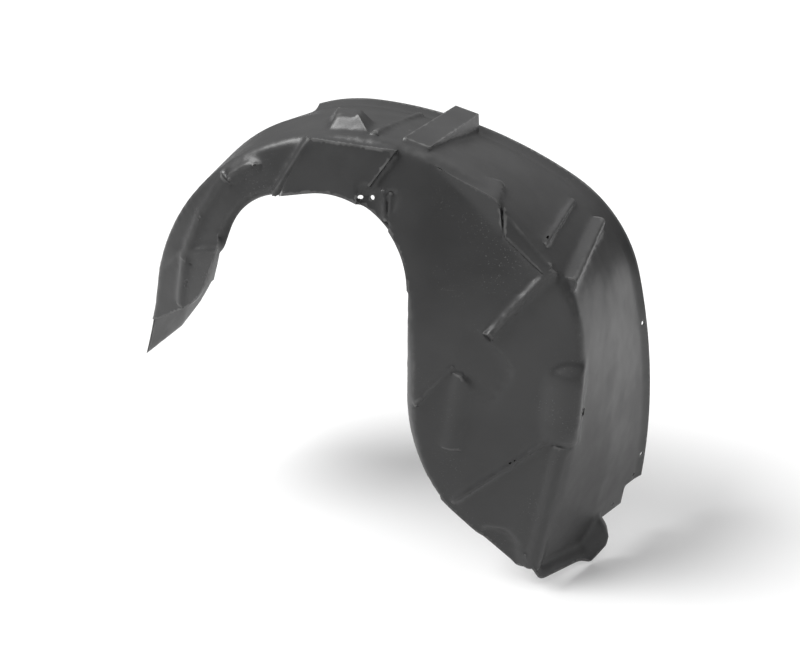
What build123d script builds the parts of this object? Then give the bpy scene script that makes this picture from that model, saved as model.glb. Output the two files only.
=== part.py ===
from build123d import *
import os
from dataclasses import dataclass
from math import asin, atan, cos, degrees, hypot, pi, radians, sin, tan

# A moulded wheel arch liner. The wheel axis is the Y axis, the fender edge lies in the plane y = 0,
# the side wall next to the engine bay is on the -Y side, and +Z is up. All lengths are in millimetres.

# Main form
sheet = 3.0
arch_radius = 681.0
arch_x = -111.0
arch_z = -308.0
arch_depth = 200.0
belly_radius = 440.0
belly_x = -60.0
belly_z = -66.0
crease_radius = 341.0
crease_x = -22.5
crease_z = 26.0
shoulder_round = 8.0
wall_tilt = 0.26
wall_width = 170.0
throat_radius = 101.0
throat_run = 62.0
flare_radius = 1000.0
flare_sweep = 14.0
leg_radius = 1000.0
leg_floor = -330.0

# Lip that lies behind the fender edge
lip_out = 9.0
lip_back = 15.0
lip_front_x = -165.0
lip_rear_z = -172.0

# Trimmed ends of the two legs
front_foot_z = -2.0
front_edge_z = 60.0
rear_foot_x = 255.0
rear_foot_z = -223.0
rear_edge_z = -204.0
rear_edge_y = -92.0
rear_notch_y = -26.0
foot_lip = 12.0
foot_fall_angle = 55.0

# Rolled lips round the wheel opening
rear_roll_y = -240.0
front_roll_y = -209.0
roll_angle = 45.0
roll_height = 60.0

# Fixing holes
screw_radius = 3.5
clip_radius = 3.0
clip_pitch = 15.0
slot_width = 6.0
slot_length = 12.0

# Working allowances
overrun = 12.0
root = 14.0
skirt = 4.0
wedge_tip = 0.08
far = 2 * arch_radius


# One cross section of the form, square to the wheel axis. Angles run from +X towards +Z.
@dataclass
class Station:
    y: float
    x: float
    z: float
    radius: float
    rear_start: float
    rear_radius: float
    rear_end: float
    front_start: float
    front_radius: float
    front_end: float


fender = Station(0.0, arch_x, arch_z, arch_radius, 60.3, 215.0, 16.5, 86.5, 270.0, 166.0)
belly = Station(-arch_depth / 2, belly_x, belly_z, belly_radius, 45.0, 230.0, 10.0, 97.5, 255.0, 168.0)
crease = Station(-arch_depth, crease_x, crease_z, crease_radius, 32.0, 190.0, 4.0, 135.0, 290.0, 166.0)
throat_y = crease.y - wall_tilt * (wall_width + throat_run)
throat = Station(throat_y, crease_x, crease_z, throat_radius, 32.0, 10.0, 4.0, 135.0, 50.0, 166.0)

# Directions at which all cross outlines are divided, so that the strips between them don't twist
divisions = sorted({station.rear_start for station in (fender, belly, crease)})
divisions += sorted({station.front_start for station in (fender, belly, crease)})


def polar(centre, radius, angle):
    return (centre[0] + radius * cos(radians(angle)), centre[1] + radius * sin(radians(angle)))


def arc(centre, radius, start, end):
    middle = (start + end) / 2
    return ThreePointArc(*[polar(centre, radius, angle) for angle in (start, middle, end)]).edge()


# One cross outline of the liner: the crown, the front bend with the outward flare of the front leg, and
# the rear bend with the long curve of the rear leg. A longer run reaches past the ends of the legs.
def outline(station, inset, y, run=0.0):
    crown_centre = (station.x, station.z)
    rear_centre = polar(crown_centre, station.radius - station.rear_radius, station.rear_start)
    leg_centre = polar(rear_centre, station.rear_radius - leg_radius, station.rear_end)
    front_centre = polar(crown_centre, station.radius - station.front_radius, station.front_start)
    flare_centre = polar(front_centre, station.front_radius + flare_radius, station.front_end)
    leg_end = degrees(asin((leg_floor - run - leg_centre[1]) / leg_radius))
    flare_from = station.front_end + 180
    flare_to = flare_from - flare_sweep - degrees(run / flare_radius)
    flare = arc(flare_centre, flare_radius + inset, flare_from, flare_to)
    leg = arc(leg_centre, leg_radius - inset, leg_end, station.rear_end)
    joints = [station.rear_end] + divisions + [station.front_end]
    bends = []
    for start, end in zip(joints, joints[1:]):
        centre, radius = crown_centre, station.radius
        if end <= station.rear_start:
            centre, radius = rear_centre, station.rear_radius
        if start >= station.front_start:
            centre, radius = front_centre, station.front_radius
        bends.append(arc(centre, radius - inset, start, end))
    base = Line(flare @ 1, leg @ 0).edge()
    return Plane.XZ.offset(-y) * Face(Wire([leg] + bends + [flare, base]))


# The filled form of the liner without its raised details, moved in from the outer skin by an inset. The
# edge between the barrel and the side wall is rounded in two narrow strips outside and one inside.
def plain_form(inset):
    run = overrun if inset > 0 else 0.0
    wall_shift = inset * hypot(1, wall_tilt)
    crease_y = crease.y + wall_shift + inset * wall_tilt
    half_turn = (pi / 2 - atan(wall_tilt)) / 2
    rounding = shoulder_round - inset
    reach = rounding * tan(half_turn)
    gap = rounding * (1 / cos(half_turn) - 1)
    lip_inset = inset * hypot(lip_out, lip_back) / lip_back - lip_out * (lip_back + run) / lip_back
    sections = [
        outline(throat, 0.0, throat.y + wall_shift, run),
        outline(crease, inset + wall_width, crease_y - wall_width * wall_tilt, run),
        outline(crease, inset + reach * cos(atan(wall_tilt)), crease_y - reach * sin(atan(wall_tilt)), run),
        outline(crease, inset, crease_y + reach, run),
        outline(belly, inset, belly.y, run),
        outline(fender, inset, fender.y, run),
        outline(fender, lip_inset, fender.y + lip_back + run, run),
    ]
    if inset <= 0:
        bisector = outline(crease, inset + gap * cos(half_turn), crease_y + gap * sin(half_turn), run)
        sections.insert(3, bisector)
    return loft(sections, ruled=True)


skin = plain_form(0.0)


def first_hit(origin, direction):
    hits = skin.find_intersection_points(Axis(origin, direction))
    return min(hits, key=lambda hit: (hit[0] - Vector(origin)).length)


crease_plate = extrude(outline(crease, 0.0, crease.y), sheet, both=True)


# A point in the wheel plane: the angle about the centre of the crease and the distance in from the crease
def in_from_crease(angle, below):
    centre = Vector(crease_x, crease.y, crease_z)
    aim = Vector(cos(radians(angle)), 0, sin(radians(angle)))
    hits = crease_plate.find_intersection_points(Axis(centre, aim))
    reach = max((hit[0] - centre).dot(aim) for hit in hits)
    return polar((crease_x, crease_z), reach - below, angle)


def on_wall(angle, below):
    x, z = in_from_crease(angle, below)
    return first_hit((x, throat.y - arch_depth, z), (0, 1, 0))


# A place on the barrel: the angle about the wheel axis and the distance in from the fender edge
def on_barrel(angle, inboard):
    x, z = polar((0, 0), far, angle)
    return first_hit((x, -inboard, z), (-x, 0, -z))


# A place on the rear leg, seen from the rear: the distance in from the fender edge and the height
def on_rear(inboard, height):
    return first_hit((far, -inboard, height), (-1, 0, 0))


def walls(*pairs):
    return [on_wall(*pair) for pair in pairs]


def barrels(*pairs):
    return [on_barrel(*pair) for pair in pairs]


# The section of a rib: straight flanks with a flat crest, or one soft wave made of arcs
def crisp_section(half, rise, top):
    points = [(-half, -root), (half, -root), (half, 0), (top, rise), (-top, rise), (-half, 0)]
    return make_face(Polyline(*points, close=True))


def half_wave(half, rise):
    turn = 2 * atan((rise + skirt) / half)
    radius = half / (2 * sin(turn))
    across = radius * sin(turn / 2)
    down = radius * (1 - cos(turn / 2))
    middle = (half / 2, (rise - skirt) / 2)
    upper = ThreePointArc((0, rise), (across, rise - down), middle)
    return upper + ThreePointArc(middle, (half - across, down - skirt), (half, -skirt))


def soft_section(half, rise):
    right = half_wave(half, rise)
    base = Polyline((half, -skirt), (half, -root), (-half, -root), (-half, -skirt))
    return make_face(right + mirror(right, Plane.YZ) + base)


# A straight raised rib between two places on the skin. Each end can be sunk so that the rib fades out.
# Ribs too small to be hollow stay solid.
def rib(places, width, height, inset, crest=0.0, sink=(0.0, 0.0)):
    soft = crest == 0
    if inset > 0 and not soft and min(height, width / 2) <= 2 * sheet:
        return []
    drop = inset if soft else 0.0
    shorten = inset - drop
    half = width / 2 - shorten
    rise = height - shorten
    section = soft_section(half, rise) if soft else crisp_section(half, rise, (crest - inset) / 2)
    first = places[0][0] - places[0][1] * (sink[0] + drop)
    last = places[1][0] - places[1][1] * (sink[1] + drop)
    along = (last - first).normalized()
    side = (places[0][1] + places[1][1]).cross(along).normalized()
    plane = Plane(origin=first + along * shorten, x_dir=side, z_dir=along)
    return [extrude(plane * section, (last - first).length - 2 * shorten)]


def grown_polygon(points, amount):
    return offset(make_face(Polyline(*points, close=True)), amount, kind=Kind.INTERSECTION)


# A flat-topped pad or pocket drawn through places on the skin. Its height runs square to a plane.
def frustum(plane, places, low, high, low_grow, high_grow):
    local = [plane.to_local_coords(place[0]) for place in places]
    points = [(point.X, point.Y) for point in local]
    lower = plane.offset(low) * grown_polygon(points, low_grow)
    upper = plane.offset(high) * grown_polygon(points, high_grow)
    return [loft([lower, upper], ruled=True)]


def mean_plane(places):
    middle = sum((place[0] for place in places), Vector()) / len(places)
    normal = sum((place[1] for place in places), Vector()).normalized()
    return Plane(origin=middle, x_dir=Vector(0, 0, 1).cross(normal), z_dir=normal)


# A pad on the side wall that follows its curve
def wall_pad(pairs, height, inset):
    points = [in_from_crease(angle, below) for angle, below in pairs]
    prism = extrude(Plane.XZ.offset(far) * grown_polygon(points, -inset), arch_depth - far - root)
    return [plain_form(inset - height) & prism]


# A small solid boss
def boss(places, height, draft, inset):
    if inset > 0:
        return []
    return frustum(mean_plane(places), places, -root, height, root / 2, -draft)


def pocket(places, depth, draft, inset):
    return frustum(mean_plane(places), places, -depth - inset, root, inset - draft, inset + root / 2)


# A pocket whose floor falls from one flush side to its full depth on the other
def sloped_pocket(places, flush, deep, depth, draft, inset):
    deepest = deep[0] - deep[1] * depth
    across = flush[1][0] - flush[0][0]
    normal = across.cross(deepest - flush[0][0]).normalized()
    if normal.dot(deep[1]) < 0:
        normal = normal * -1
    plane = Plane(origin=flush[0][0], x_dir=across, z_dir=normal)
    return frustum(plane, places, -inset, 2 * root, inset - draft, inset + root)


# A hollow boss with sloping sides
def dome(places, height, draft, inset):
    return frustum(mean_plane(places), places, -root, height - inset, root - inset, -draft - inset)


# A long round swelling that lies along the height of the wall. It stops a little way past the crease.
def swelling(place, half_width, half_length, height, past, inset):
    radius = (half_width ** 2 + height ** 2) / (2 * height)
    middle = half_length - half_width
    normal = place[1]
    upright = (Vector(0, 0, 1) - normal * normal.Z).normalized()
    points = [polar((0, -middle), radius - inset, angle) for angle in (-90, -48, -24, 0)]
    points += [polar((0, middle), radius - inset, angle) for angle in (0, 24, 48, 90)]
    profile = Plane(origin=place[0] - normal * (radius - height), x_dir=normal, z_dir=normal.cross(upright))
    body = revolve(profile * make_face(Polyline(*points, close=True)), Axis(profile.origin, upright))
    limit = extrude(outline(crease, inset - past, throat.y - arch_depth), -2 * arch_depth)
    return [body & limit]


# A wedge over the crease. It starts flush and ends in a face through three points.
def crease_wedge(start, barrel_end, ridge_end, wall_end, inset):
    back = (start - ridge_end).normalized()
    outward = Vector(*polar((0, 0), 1, 55.0), 0).rotate(Axis.X, 90)
    shift = (back - Vector(0, -1, 0) - outward) * inset
    corners = [barrel_end, ridge_end, wall_end, barrel_end + wall_end - ridge_end]
    end_points = [point + shift for point in corners]
    start_points = [start + shift + (point - ridge_end) * wedge_tip for point in corners]
    faces = [make_face(Polyline(*points, close=True)) for points in (start_points, end_points)]
    return [loft(faces, ruled=True)]


def raised_details(inset):
    parts = []
    # Channel over the top, from the shoulder to the fender edge
    parts += rib(barrels((79.5, 200), (79.0, -6)), 50.0, 20.0, inset, 36.0, sink=(22.0, -3.0))
    # Ribs along the barrel
    parts += rib(barrels((88.0, 190), (88.8, 8)), 14.0, 7.0, inset, 6.0)
    parts += rib(barrels((46.5, 192), (48.0, 38)), 9.0, 4.0, inset, 3.0)
    parts += rib(barrels((37.0, 192), (40.8, 28)), 22.0, 12.0, inset, 8.0)
    # Ribs on the side wall
    parts += rib(walls((28.0, 111.3), (36.0, 5)), 15.0, 7.0, inset, 7.0)
    parts += rib(walls((4.0, 205.8), (22.0, 161.9)), 11.0, 6.0, inset, 5.0, sink=(0.0, 3.0))
    parts += rib(walls((-41.0, 156), (-5.0, 24.9)), 10.0, 4.5, inset, 4.0)
    parts += rib(walls((17.0, 146), (-19.0, 157)), 72.0, 9.5, inset, sink=(3.0, 4.5))
    # Ridge down the front leg with its two branches
    parts += rib(walls((123.0, 17), (136.0, 34)), 26.0, 7.0, inset, 9.0)
    parts += rib(walls((135.0, 33), (149.0, 46.2)), 26.0, 7.0, inset, 9.0)
    parts += rib(walls((148.0, 46.5), (164.0, 55)), 22.0, 6.0, inset, 10.0, sink=(0.0, 3.0))
    parts += rib(walls((147.0, 45.7), (137.0, 88)), 24.0, 6.0, inset, 6.0, sink=(0.0, 3.0))
    parts += rib(walls((146.0, 42.9), (159.0, 4.8)), 24.0, 5.0, inset, 6.0, sink=(0.0, 4.0))
    # Band from the rear swelling down to the foot
    parts += rib(walls((-8.0, 15), (-42.0, 6.5)), 26.0, 6.0, inset, 12.0)
    # Pads
    parts += wall_pad([(98, 4), (77.5, 7), (87, 100), (112, 84)], 4.0, inset)
    parts += rib(walls((98, 6), (110.0, 66)), 14.0, 8.0, inset, 5.0)
    parts += wall_pad([(52, 2), (47.5, 25), (35.5, 14), (37, 2)], 4.0, inset)
    parts += boss(walls((121.5, 12), (114.5, 12), (112.0, 23), (122.5, 26)), 7.0, 2.5, inset)
    # Wedge over the crease
    barrel_end = on_barrel(61.0, 154)[0] + Vector(3, 0, 5)
    ridge_end = on_wall(53.5, 6)[0] + Vector(5, -8, 7)
    parts += crease_wedge(on_wall(71.0, 8)[0], barrel_end, ridge_end, on_wall(48.0, 28)[0], inset)
    # Swelling on the crease and dome on the crown
    parts += swelling(on_wall(3.0, 16.0), 32.0, 62.0, 13.0, 3.0, inset)
    parts += dome(barrels((101.5, 128), (98.0, 186), (89.8, 186), (92.5, 128)), 20.0, 12.0, inset)
    return parts


def pockets(inset):
    rim = walls((36.5, 124), (27, 109), (15, 84.3), (-2, 110.6), (8, 129.9), (24, 165.4))
    parts = sloped_pocket(rim, (rim[0], rim[4]), rim[2], 9.0, 5.0, inset)
    parts += pocket(walls((84.5, 61), (74, 51), (72.5, 114), (83.2, 114)), 3.5, 4.0, inset)
    rim = walls((-41, 108), (-37.5, 61.8), (-38.8, 37.4), (-43.8, 17.1), (-48.5, 54.5), (-47.5, 112.6))
    return parts + sloped_pocket(rim, (rim[4], rim[5]), rim[2], 13.0, 10.0, inset)


def fan_ribs(inset):
    parts = rib(walls((78.3, 58), (75.2, 92)), 6.0, 1.0, inset, 3.0)
    return parts + rib(walls((76.3, 57), (73.8, 92)), 6.0, 1.0, inset, 3.0)


# An outline given by its corners, each with the radius that rounds it
def rounded_outline(corners):
    face = make_face(Polyline(*[(x, z) for x, z, _ in corners], close=True))
    for x, z, radius in corners:
        if radius > 0:
            face = fillet(face.vertices().sort_by_distance((x, z, 0))[0], radius)
    return face


# The wheel opening in the side wall, drawn in the plane of the wheel
def opening_face():
    corners = [
        (-520, 66, 0), (-349, 66, 20), (-247.5, 119, 100), (-177, 272.5, 95), (77, 318, 120), (76, -62, 250),
        (246, -240, 0), (246, -520, 0), (-520, -520, 0),
    ]
    return rounded_outline(corners)


# The funnel that turns the edge of the opening over into a rolled lip
def roll_cutter(roll_y, inset):
    plane = Plane.XZ.offset(-roll_y - inset / sin(radians(roll_angle)))
    return extrude(plane * opening_face(), roll_height, taper=-roll_angle)


def front_roll(inset):
    window = Pos(-166, -arch_depth, 250) * Box(88 + 2 * inset, arch_depth, 120)
    return roll_cutter(front_roll_y, inset) & window


def detailed_form(plain, inset):
    form = plain + raised_details(inset)
    form = form - pockets(inset)
    extra = fan_ribs(inset)
    if extra:
        form = form + extra
    return form - [roll_cutter(rear_roll_y, inset), front_roll(inset)]


# A profile in the YZ plane, drawn at one X and pushed in a direction
def push_profile(points, x, direction, length):
    return extrude(Plane.YZ.offset(x) * make_face(Polyline(*points, close=True)), length, dir=direction)


# Lip along the lower end of the rear foot, which falls away outwards
foot_fall = Vector(cos(radians(foot_fall_angle)), 0, -sin(radians(foot_fall_angle)))
foot_slope = sin(radians(foot_fall_angle)) / cos(radians(foot_fall_angle))
foot_line = [
    (throat.y, rear_foot_z + 24), (crease.y, rear_foot_z), (-113, foot_slope * (310 - rear_foot_x) - 240),
    (rear_edge_y, foot_slope * (329 - rear_foot_x) - 201),
]


def trimmed(liner):
    opening = extrude(Plane.XZ.offset(far) * opening_face(), arch_depth - far - shoulder_round)
    low = 2 * leg_floor
    front = [
        (crease.y - shoulder_round, front_foot_z), (-100, front_foot_z + 12), (-40, front_edge_z / 2),
        (0, front_edge_z), (lip_back, front_edge_z), (lip_back, low), (crease.y - shoulder_round, low),
    ]
    rear_edge = [
        (rear_edge_y, rear_edge_z), (rear_notch_y, rear_edge_z), (rear_notch_y, lip_rear_z),
        (2 * lip_back, lip_rear_z), (2 * lip_back, low), (rear_edge_y, low),
    ]
    rear_foot = foot_line + [(rear_edge_y, low), (throat.y, low)]
    inner_corner = [(throat.y, rear_foot_z), (rear_edge_y, rear_foot_z), (rear_edge_y, low), (throat.y, low)]
    cutters = [
        opening,
        push_profile(front, -arch_depth, (-1, 0, 0), far),
        push_profile(rear_edge, arch_depth / 2, (1, 0, 0), far),
        push_profile(rear_foot, rear_foot_x, foot_fall, far),
        push_profile(inner_corner, 0.0, (1, 0, 0), rear_foot_x),
        Pos(lip_front_x, 0, -far) * Box(far, 2 * lip_back, 2 * far, align=(Align.MAX, Align.MIN, Align.MIN)),
    ]
    return liner - cutters


def foot_lip_solid(inner):
    thick = sheet / cos(radians(foot_fall_angle))
    lip_start = crease.y - shoulder_round
    lip_end = rear_edge_y + foot_lip
    line = foot_line + [(lip_end, foot_line[-1][1])]
    lower = [(y, z + foot_slope * foot_lip) for y, z in line]
    upper = [(y, z + thick) for y, z in reversed(lower)]
    slab = push_profile(lower + upper, rear_foot_x - foot_lip, foot_fall, far)
    corners = [
        (rear_foot_x - shoulder_round, lip_start, 0), (rear_foot_x + shoulder_round, lip_start, 4),
        (312, -124, 60), (346, -94, 8), (341, lip_end, 0), (0, lip_end, 0), (0, lip_start, 0),
    ]
    limit = extrude(Plane.XY.offset(2 * leg_floor) * rounded_outline(corners), -2 * leg_floor)
    return (slab & limit) - inner


def drill(point, axis, radius):
    return Plane(origin=point, z_dir=axis).location * Cylinder(radius, 8 * sheet)


# Two parallel screw holes, square to the line between them
def screw_pair(first, second, facing):
    line = (second - first).normalized()
    axis = (facing - line * facing.dot(line)).normalized()
    return [drill(first, axis, screw_radius), drill(second, axis, screw_radius)]


def hole_cutters():
    lip_facing = Vector(lip_back, -lip_out, 0).normalized()
    parts = screw_pair(on_rear(-lip_back / 2, 86)[0], on_rear(-lip_back / 2, -130)[0], lip_facing)
    parts += screw_pair(on_rear(5, -162)[0], on_rear(50, -193)[0], on_rear(50, -193)[1])
    clip = on_wall(82.5, 72)[0]
    for side in (-1, 1):
        parts.append(drill(clip + Vector(side * clip_pitch / 2, 0, 0), (0, 1, 0), clip_radius))
    slot_plane = Plane(origin=on_wall(0.5, -3.2)[0], x_dir=(0, 0, 1), z_dir=(0.8, -0.6, 0))
    parts.append(extrude(slot_plane * SlotOverall(slot_length, slot_width), 12 * sheet, both=True))
    return parts


outer = detailed_form(skin, 0.0)
inner = detailed_form(plain_form(sheet), sheet)
liner = trimmed(outer - inner) + foot_lip_solid(inner) - hole_cutters()
os.makedirs("parts", exist_ok=True)
export_step(liner, "parts/arch_liner.step")
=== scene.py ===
import math

import bmesh
import bpy
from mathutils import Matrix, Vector


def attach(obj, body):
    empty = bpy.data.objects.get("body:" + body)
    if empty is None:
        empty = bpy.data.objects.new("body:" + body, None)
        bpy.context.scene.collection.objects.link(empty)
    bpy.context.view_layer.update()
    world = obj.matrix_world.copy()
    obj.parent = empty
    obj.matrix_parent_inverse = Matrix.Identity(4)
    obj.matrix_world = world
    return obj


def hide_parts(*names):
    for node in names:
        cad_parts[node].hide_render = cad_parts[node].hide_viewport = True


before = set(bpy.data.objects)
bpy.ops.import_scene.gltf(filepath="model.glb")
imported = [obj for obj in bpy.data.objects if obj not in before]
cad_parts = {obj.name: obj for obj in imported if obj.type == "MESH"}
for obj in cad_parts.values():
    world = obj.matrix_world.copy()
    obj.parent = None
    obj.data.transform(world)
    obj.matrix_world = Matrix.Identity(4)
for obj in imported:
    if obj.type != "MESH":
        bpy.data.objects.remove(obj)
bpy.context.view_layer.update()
print("frame loaded")

# moulded shell, made from a copy of the CAD solid with softer forms
shell = {
    "node": "arch_liner",
    "mergeDistance": 0.00002,
    "cornerAngle": math.radians(70),  # convex edges sharper than this are cut rims
    "edgeLengths": (0.0070, 0.0050),  # aim of each evening pass
    "splitRatio": 1.4,  # edges longer than this times the aim are split
    "splitRounds": 5,
    "collapseRatio": 0.6,  # and those shorter than this times the aim are collapsed
    "collapseRounds": 4,
    "collapseEnough": 20,  # a round with fewer collapses than this is the last
    "flatAngle": math.radians(9),
    "evenFactor": 0.15,
    "softFactor": 0.5,
    "softRounds": 2,
    "rimFactor": 0.5,
    "rimRounds": 3,
    "rimStep": 0.0015,  # corners with a shorter edge than this keep their shape
    "rimBevel": 0.0006,  # an upper limit, as short rim edges hold the bevel far below it
    "bevelSegments": 2,
    "creaseAngle": math.radians(50),  # edges sharper than this are shaded sharp
}


def isFixed(vert):
    return any(not edge.smooth for edge in vert.link_edges)


def markRims(bm):
    # the cut rims are marked sharp, so that smoothing leaves them in place
    for edge in bm.edges:
        isRim = edge.is_convex and edge.calc_face_angle(0.0) > shell["cornerAngle"]
        edge.smooth = not isRim


def splitLongEdges(bm, length):
    limit = length * shell["splitRatio"]
    for _ in range(shell["splitRounds"]):
        longEdges = [edge for edge in bm.edges if edge.calc_length() > limit]
        if not longEdges:
            return
        bmesh.ops.subdivide_edges(bm, edges=longEdges, cuts=1)
        bmesh.ops.triangulate(bm, faces=bm.faces[:], quad_method="BEAUTY", ngon_method="BEAUTY")


def isFlat(edge):
    return len(edge.link_faces) == 2 and edge.calc_face_angle() < shell["flatAngle"]


def flipFlatEdges(bm):
    flatEdges = [edge for edge in bm.edges if edge.smooth and isFlat(edge)]
    bmesh.ops.beautify_fill(bm, faces=bm.faces[:], edges=flatEdges, method="ANGLE")


def neighbours(vert):
    return {edge.other_vert(vert) for edge in vert.link_edges}


def collapseShortEdges(bm, length):
    # only edges whose ends share just two neighbours, so that the surface stays whole
    limit = length * shell["collapseRatio"]
    bm.edges.index_update()
    lengths = [(edge.calc_length(), edge.index, edge) for edge in bm.edges]
    used = set()
    chosen = []
    for _, _, edge in sorted(entry for entry in lengths if entry[0] < limit):
        first, second = edge.verts
        if first in used or second in used or isFixed(first) or isFixed(second):
            continue
        nearFirst = neighbours(first)
        nearSecond = neighbours(second)
        if len(nearFirst & nearSecond) != 2:
            continue
        used |= nearFirst | nearSecond
        chosen.append(edge)
    bmesh.ops.collapse(bm, edges=chosen, uvs=False)
    return len(chosen)


def smoothForms(bm, factor, rounds):
    free = [vert for vert in bm.verts if not isFixed(vert)]
    for _ in range(rounds):
        bmesh.ops.smooth_vert(
            bm, verts=free, factor=factor, use_axis_x=True, use_axis_y=True, use_axis_z=True
        )


def evenTriangles(bm):
    for length in shell["edgeLengths"]:
        splitLongEdges(bm, length)
        flipFlatEdges(bm)
        for _ in range(shell["collapseRounds"]):
            if collapseShortEdges(bm, length) < shell["collapseEnough"]:
                break
        flipFlatEdges(bm)
        smoothForms(bm, shell["evenFactor"], 1)
        print("triangles evened:", len(bm.faces))


def roundRimCorners(bm):
    for _ in range(shell["rimRounds"]):
        places = {}
        for vert in bm.verts:
            sharp = [edge for edge in vert.link_edges if not edge.smooth]
            if len(sharp) == 2 and min(edge.calc_length() for edge in sharp) > shell["rimStep"]:
                sides = [edge.other_vert(vert).co for edge in sharp]
                places[vert] = vert.co.lerp((sides[0] + sides[1]) / 2, shell["rimFactor"])
        for vert, place in places.items():
            vert.co = place


def markRidges(bm):
    # how far each point stands out from its neighbours, for the painted highlight on raised
    # edges
    ridge = bm.verts.layers.float.new("ridge")
    for vert in bm.verts:
        around = [edge.other_vert(vert).co for edge in vert.link_edges]
        middle = sum(around, Vector()) / len(around)
        vert[ridge] = (vert.co - middle).dot(vert.normal) / shell["edgeLengths"][-1]


def bevelRims(bm):
    sharp = [edge for edge in bm.edges if not edge.smooth]
    bmesh.ops.bevel(
        bm, geom=sharp, offset=shell["rimBevel"], offset_type="OFFSET", affect="EDGES",
        segments=shell["bevelSegments"], profile=0.5, clamp_overlap=True, material=-1
    )


def shadeSmooth(bm):
    for edge in bm.edges:
        edge.smooth = edge.calc_face_angle(0.0) < shell["creaseAngle"]
    for face in bm.faces:
        face.smooth = True


def makeShell():
    bm = bmesh.new()
    bm.from_mesh(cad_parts[shell["node"]].data)
    bmesh.ops.remove_doubles(bm, verts=bm.verts[:], dist=shell["mergeDistance"])
    markRims(bm)
    evenTriangles(bm)
    roundRimCorners(bm)
    smoothForms(bm, shell["softFactor"], shell["softRounds"])
    bm.normal_update()
    markRidges(bm)
    bevelRims(bm)
    shadeSmooth(bm)
    mesh = bpy.data.meshes.new("liner_shell")
    bm.to_mesh(mesh)
    bm.free()
    piece = bpy.data.objects.new("liner_shell", mesh)
    bpy.context.scene.collection.objects.link(piece)
    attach(piece, "root")
    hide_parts(shell["node"])
    return piece


liner = makeShell()
print("shell made")

# satin black plastic, a little dusty, with a painted highlight on raised ridges
# each noise has its scale and detail, each range the values where a pattern starts and is full
plastic = {
    "colour": (0.034, 0.034, 0.0345, 1.0),
    "paleColour": (0.046, 0.046, 0.0465, 1.0),
    "dustColour": (0.17, 0.17, 0.168, 1.0),
    # colour of the painted highlight on raised ridges, lighter than the plastic
    "ridgeHighlightColour": (0.15, 0.15, 0.149, 1.0),
    "cloudNoise": (7.0, 3.0),
    "cloudRange": (0.35, 0.65),
    "ridgeRange": (0.05, 0.22),
    "highlightPatchNoise": (40.0, 3.0),
    "highlightPatchRange": (0.3, 0.7),
    "highlightPatchAmount": (0.25, 0.9),
    "patchNoise": (9.0, 2.0),
    "patchRange": (0.5, 0.72),
    "speckNoise": (420.0, 1.0),
    "speckRange": (0.66, 0.74),
    "speckAmount": 0.55,
    "speckRoughness": 0.2,
    "scratchStretch": (1.0, 1.0, 14.0),
    "scratchTurn": (0.5, 0.4, 0.2),
    "scratchNoise": (70.0, 2.0),
    "scratchRange": (0.68, 0.74),
    "scratchAmount": 0.35,
    "sheenNoise": (16.0, 4.0),
    "sheenRange": (0.3, 0.7),
    "roughness": (0.33, 0.42),
    "waveNoise": (28.0, 1.0),
    "waveDepth": 0.0009,
    "grainNoise": (900.0, 2.0),
    "grainDepth": 0.00006,
}


def addNode(tree, kind, **settings):
    # a setting that starts with in_ is the value of an input
    node = tree.nodes.new(kind)
    for name, value in settings.items():
        if name.startswith("in_"):
            node.inputs[name.removeprefix("in_")].default_value = value
        else:
            setattr(node, name, value)
    return node


def feed(tree, value, socket):
    if isinstance(value, bpy.types.NodeSocket):
        tree.links.new(value, socket)
    else:
        socket.default_value = value


def addNoise(tree, place, scale, detail):
    noise = addNode(tree, "ShaderNodeTexNoise", in_Scale=scale, in_Detail=detail)
    tree.links.new(place, noise.inputs["Vector"])
    return noise.outputs["Fac"]


def addRange(tree, value, fromRange, toRange=(0.0, 1.0)):
    spread = addNode(tree, "ShaderNodeMapRange", interpolation_type="SMOOTHSTEP")
    tree.links.new(value, spread.inputs["Value"])
    for name, number in zip(("From Min", "From Max", "To Min", "To Max"), fromRange + toRange):
        spread.inputs[name].default_value = number
    return spread.outputs["Result"]


def addMath(tree, kind, first, second):
    node = addNode(tree, "ShaderNodeMath", operation=kind)
    feed(tree, first, node.inputs[0])
    feed(tree, second, node.inputs[1])
    return node.outputs["Value"]


def addMix(tree, amount, first, second):
    # sockets 6 and 7 take the colours and output 2 gives their mix
    mix = addNode(tree, "ShaderNodeMix", data_type="RGBA")
    tree.links.new(amount, mix.inputs["Factor"])
    feed(tree, first, mix.inputs[6])
    feed(tree, second, mix.inputs[7])
    return mix.outputs[2]


def addPattern(tree, place, name, amounts=(0.0, 1.0)):
    noise = addNoise(tree, place, *plastic[name + "Noise"])
    return addRange(tree, noise, plastic[name + "Range"], amounts)


def addBump(tree, place, name):
    bump = addNode(tree, "ShaderNodeBump", in_Strength=1.0, in_Distance=plastic[name + "Depth"])
    tree.links.new(addNoise(tree, place, *plastic[name + "Noise"]), bump.inputs["Height"])
    return bump


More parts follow.
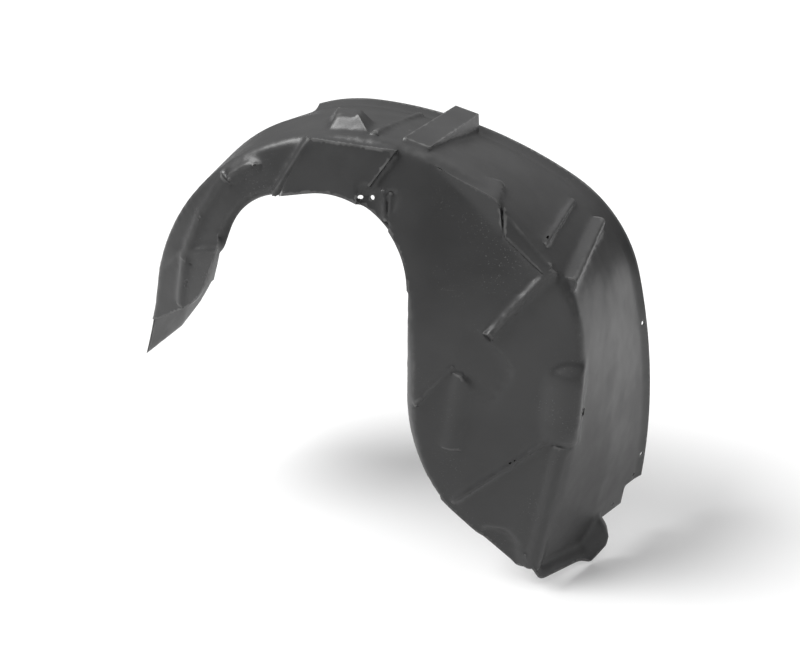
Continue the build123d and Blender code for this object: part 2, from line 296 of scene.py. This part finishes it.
def makePlastic():
    material = bpy.data.materials.new("satin_black_plastic")
    material.use_nodes = True
    tree = material.node_tree
    shader = tree.nodes["Principled BSDF"]
    place = addNode(tree, "ShaderNodeTexCoord").outputs["Object"]
    cloud = addPattern(tree, place, "cloud")
    colour = addMix(tree, cloud, plastic["colour"], plastic["paleColour"])
    # painted highlight on raised ridges, broken into uneven patches
    ridge = addNode(tree, "ShaderNodeAttribute", attribute_name="ridge").outputs["Fac"]
    raised = addRange(tree, ridge, plastic["ridgeRange"])
    highlightPatch = addPattern(tree, place, "highlightPatch", plastic["highlightPatchAmount"])
    colour = addMix(tree, addMath(tree, "MULTIPLY", raised, highlightPatch), colour, plastic["ridgeHighlightColour"])
    # dust specks in patches
    patch = addPattern(tree, place, "patch")
    specks = addMath(tree, "MULTIPLY", patch, addPattern(tree, place, "speck"))
    dust = addMath(tree, "MULTIPLY", specks, plastic["speckAmount"])
    colour = addMix(tree, dust, colour, plastic["dustColour"])
    # fine scratches in the same patches
    stretch = addNode(
        tree, "ShaderNodeMapping",
        in_Scale=plastic["scratchStretch"], in_Rotation=plastic["scratchTurn"]
    )
    tree.links.new(place, stretch.inputs["Vector"])
    streaks = addPattern(tree, stretch.outputs["Vector"], "scratch")
    scratches = addMath(tree, "MULTIPLY", streaks, patch)
    dust = addMath(tree, "MULTIPLY", scratches, plastic["scratchAmount"])
    colour = addMix(tree, dust, colour, plastic["dustColour"])
    tree.links.new(colour, shader.inputs["Base Color"])
    # sheen that varies over the surface and is duller at the specks
    sheen = addPattern(tree, place, "sheen", plastic["roughness"])
    dull = addMath(tree, "MULTIPLY", specks, plastic["speckRoughness"])
    tree.links.new(addMath(tree, "ADD", sheen, dull), shader.inputs["Roughness"])
    # slight waves of the sheet, with the grain of the mould on them
    wave = addBump(tree, place, "wave")
    grain = addBump(tree, place, "grain")
    tree.links.new(wave.outputs["Normal"], grain.inputs["Normal"])
    tree.links.new(grain.outputs["Normal"], shader.inputs["Normal"])
    return material


liner.data.materials.clear()
liner.data.materials.append(makePlastic())
print("plastic made")

# camera at the photograph's place
view = {
    "place": (0.414, -1.124, 0.540),
    "target": (-0.022, -0.012, 0.028),
    "lens": 36.27,
    "sensorWidth": 36.0,
}


def makeCamera():
    data = bpy.data.cameras.new("camera")
    data.sensor_fit = "HORIZONTAL"
    data.sensor_width = view["sensorWidth"]
    data.lens = view["lens"]
    camera = bpy.data.objects.new("camera", data)
    camera.location = view["place"]
    aim = Vector(view["target"]) - Vector(view["place"])
    camera.rotation_euler = aim.to_track_quat("-Z", "Y").to_euler()
    bpy.context.scene.collection.objects.link(camera)
    bpy.context.scene.camera = camera


makeCamera()
print("camera made")

# pale floor, soft sky and a soft key light from above
studio = {
    "floorHeight": -0.262,
    "floorSize": 60.0,
    "floorColour": (0.94, 0.94, 0.94, 1.0),  # as the camera and reflections see it
    "bounceColour": (0.18, 0.18, 0.18, 1.0),  # for the light it throws back
    "floorRoughness": 0.9,
    "skyColour": (1.0, 1.0, 1.0, 1.0),
    "skyStrength": (0.16, 0.85),  # at the horizon and overhead
    "backdropStrength": 1.0,
    "keyStrength": 2.7,
    "keyAngle": math.radians(30),
    "keyFrom": (-0.75, -0.42, 0.95),
}


def directRays(tree):
    # camera, glossy and transmission rays, which see the floor in its own colour
    path = addNode(tree, "ShaderNodeLightPath")
    seen = addMath(tree, "MAXIMUM", path.outputs["Is Camera Ray"], path.outputs["Is Glossy Ray"])
    return addMath(tree, "MAXIMUM", seen, path.outputs["Is Transmission Ray"])


def makeFloorMaterial():
    material = bpy.data.materials.new("pale_floor")
    material.use_nodes = True
    tree = material.node_tree
    shader = tree.nodes["Principled BSDF"]
    shader.inputs["Roughness"].default_value = studio["floorRoughness"]
    shader.inputs["Specular IOR Level"].default_value = 0.0
    colour = addMix(tree, directRays(tree), studio["bounceColour"], studio["floorColour"])
    tree.links.new(colour, shader.inputs["Base Color"])
    return material


def makeFloor():
    bm = bmesh.new()
    bmesh.ops.create_grid(bm, x_segments=1, y_segments=1, size=studio["floorSize"])
    bmesh.ops.translate(bm, verts=bm.verts[:], vec=(0, 0, studio["floorHeight"]))
    mesh = bpy.data.meshes.new("floor")
    bm.to_mesh(mesh)
    bm.free()
    floor = bpy.data.objects.new("floor", mesh)
    bpy.context.scene.collection.objects.link(floor)
    mesh.materials.append(makeFloorMaterial())


def makeSky():
    # the camera sees a plain backdrop, and all other rays the sky
    world = bpy.data.worlds.new("sky")
    bpy.context.scene.world = world
    world.use_nodes = True
    tree = world.node_tree
    sky = tree.nodes["Background"]
    sky.inputs["Color"].default_value = studio["skyColour"]
    split = addNode(tree, "ShaderNodeSeparateXYZ")
    tree.links.new(addNode(tree, "ShaderNodeTexCoord").outputs["Generated"], split.inputs[0])
    strength = addRange(tree, split.outputs["Z"], (0.0, 1.0), studio["skyStrength"])
    tree.links.new(strength, sky.inputs["Strength"])
    backdrop = addNode(
        tree, "ShaderNodeBackground",
        in_Color=studio["skyColour"], in_Strength=studio["backdropStrength"]
    )
    mix = addNode(tree, "ShaderNodeMixShader")
    tree.links.new(addNode(tree, "ShaderNodeLightPath").outputs["Is Camera Ray"], mix.inputs[0])
    tree.links.new(sky.outputs[0], mix.inputs[1])
    tree.links.new(backdrop.outputs[0], mix.inputs[2])
    tree.links.new(mix.outputs[0], tree.nodes["World Output"].inputs["Surface"])


def makeKeyLight():
    lamp = bpy.data.lights.new("key", "SUN")
    lamp.energy = studio["keyStrength"]
    lamp.angle = studio["keyAngle"]
    key = bpy.data.objects.new("key", lamp)
    key.rotation_euler = (-Vector(studio["keyFrom"])).to_track_quat("-Z", "Y").to_euler()
    bpy.context.scene.collection.objects.link(key)


makeFloor()
makeSky()
makeKeyLight()
bpy.context.scene.view_settings.view_transform = "Standard"
print("studio made")
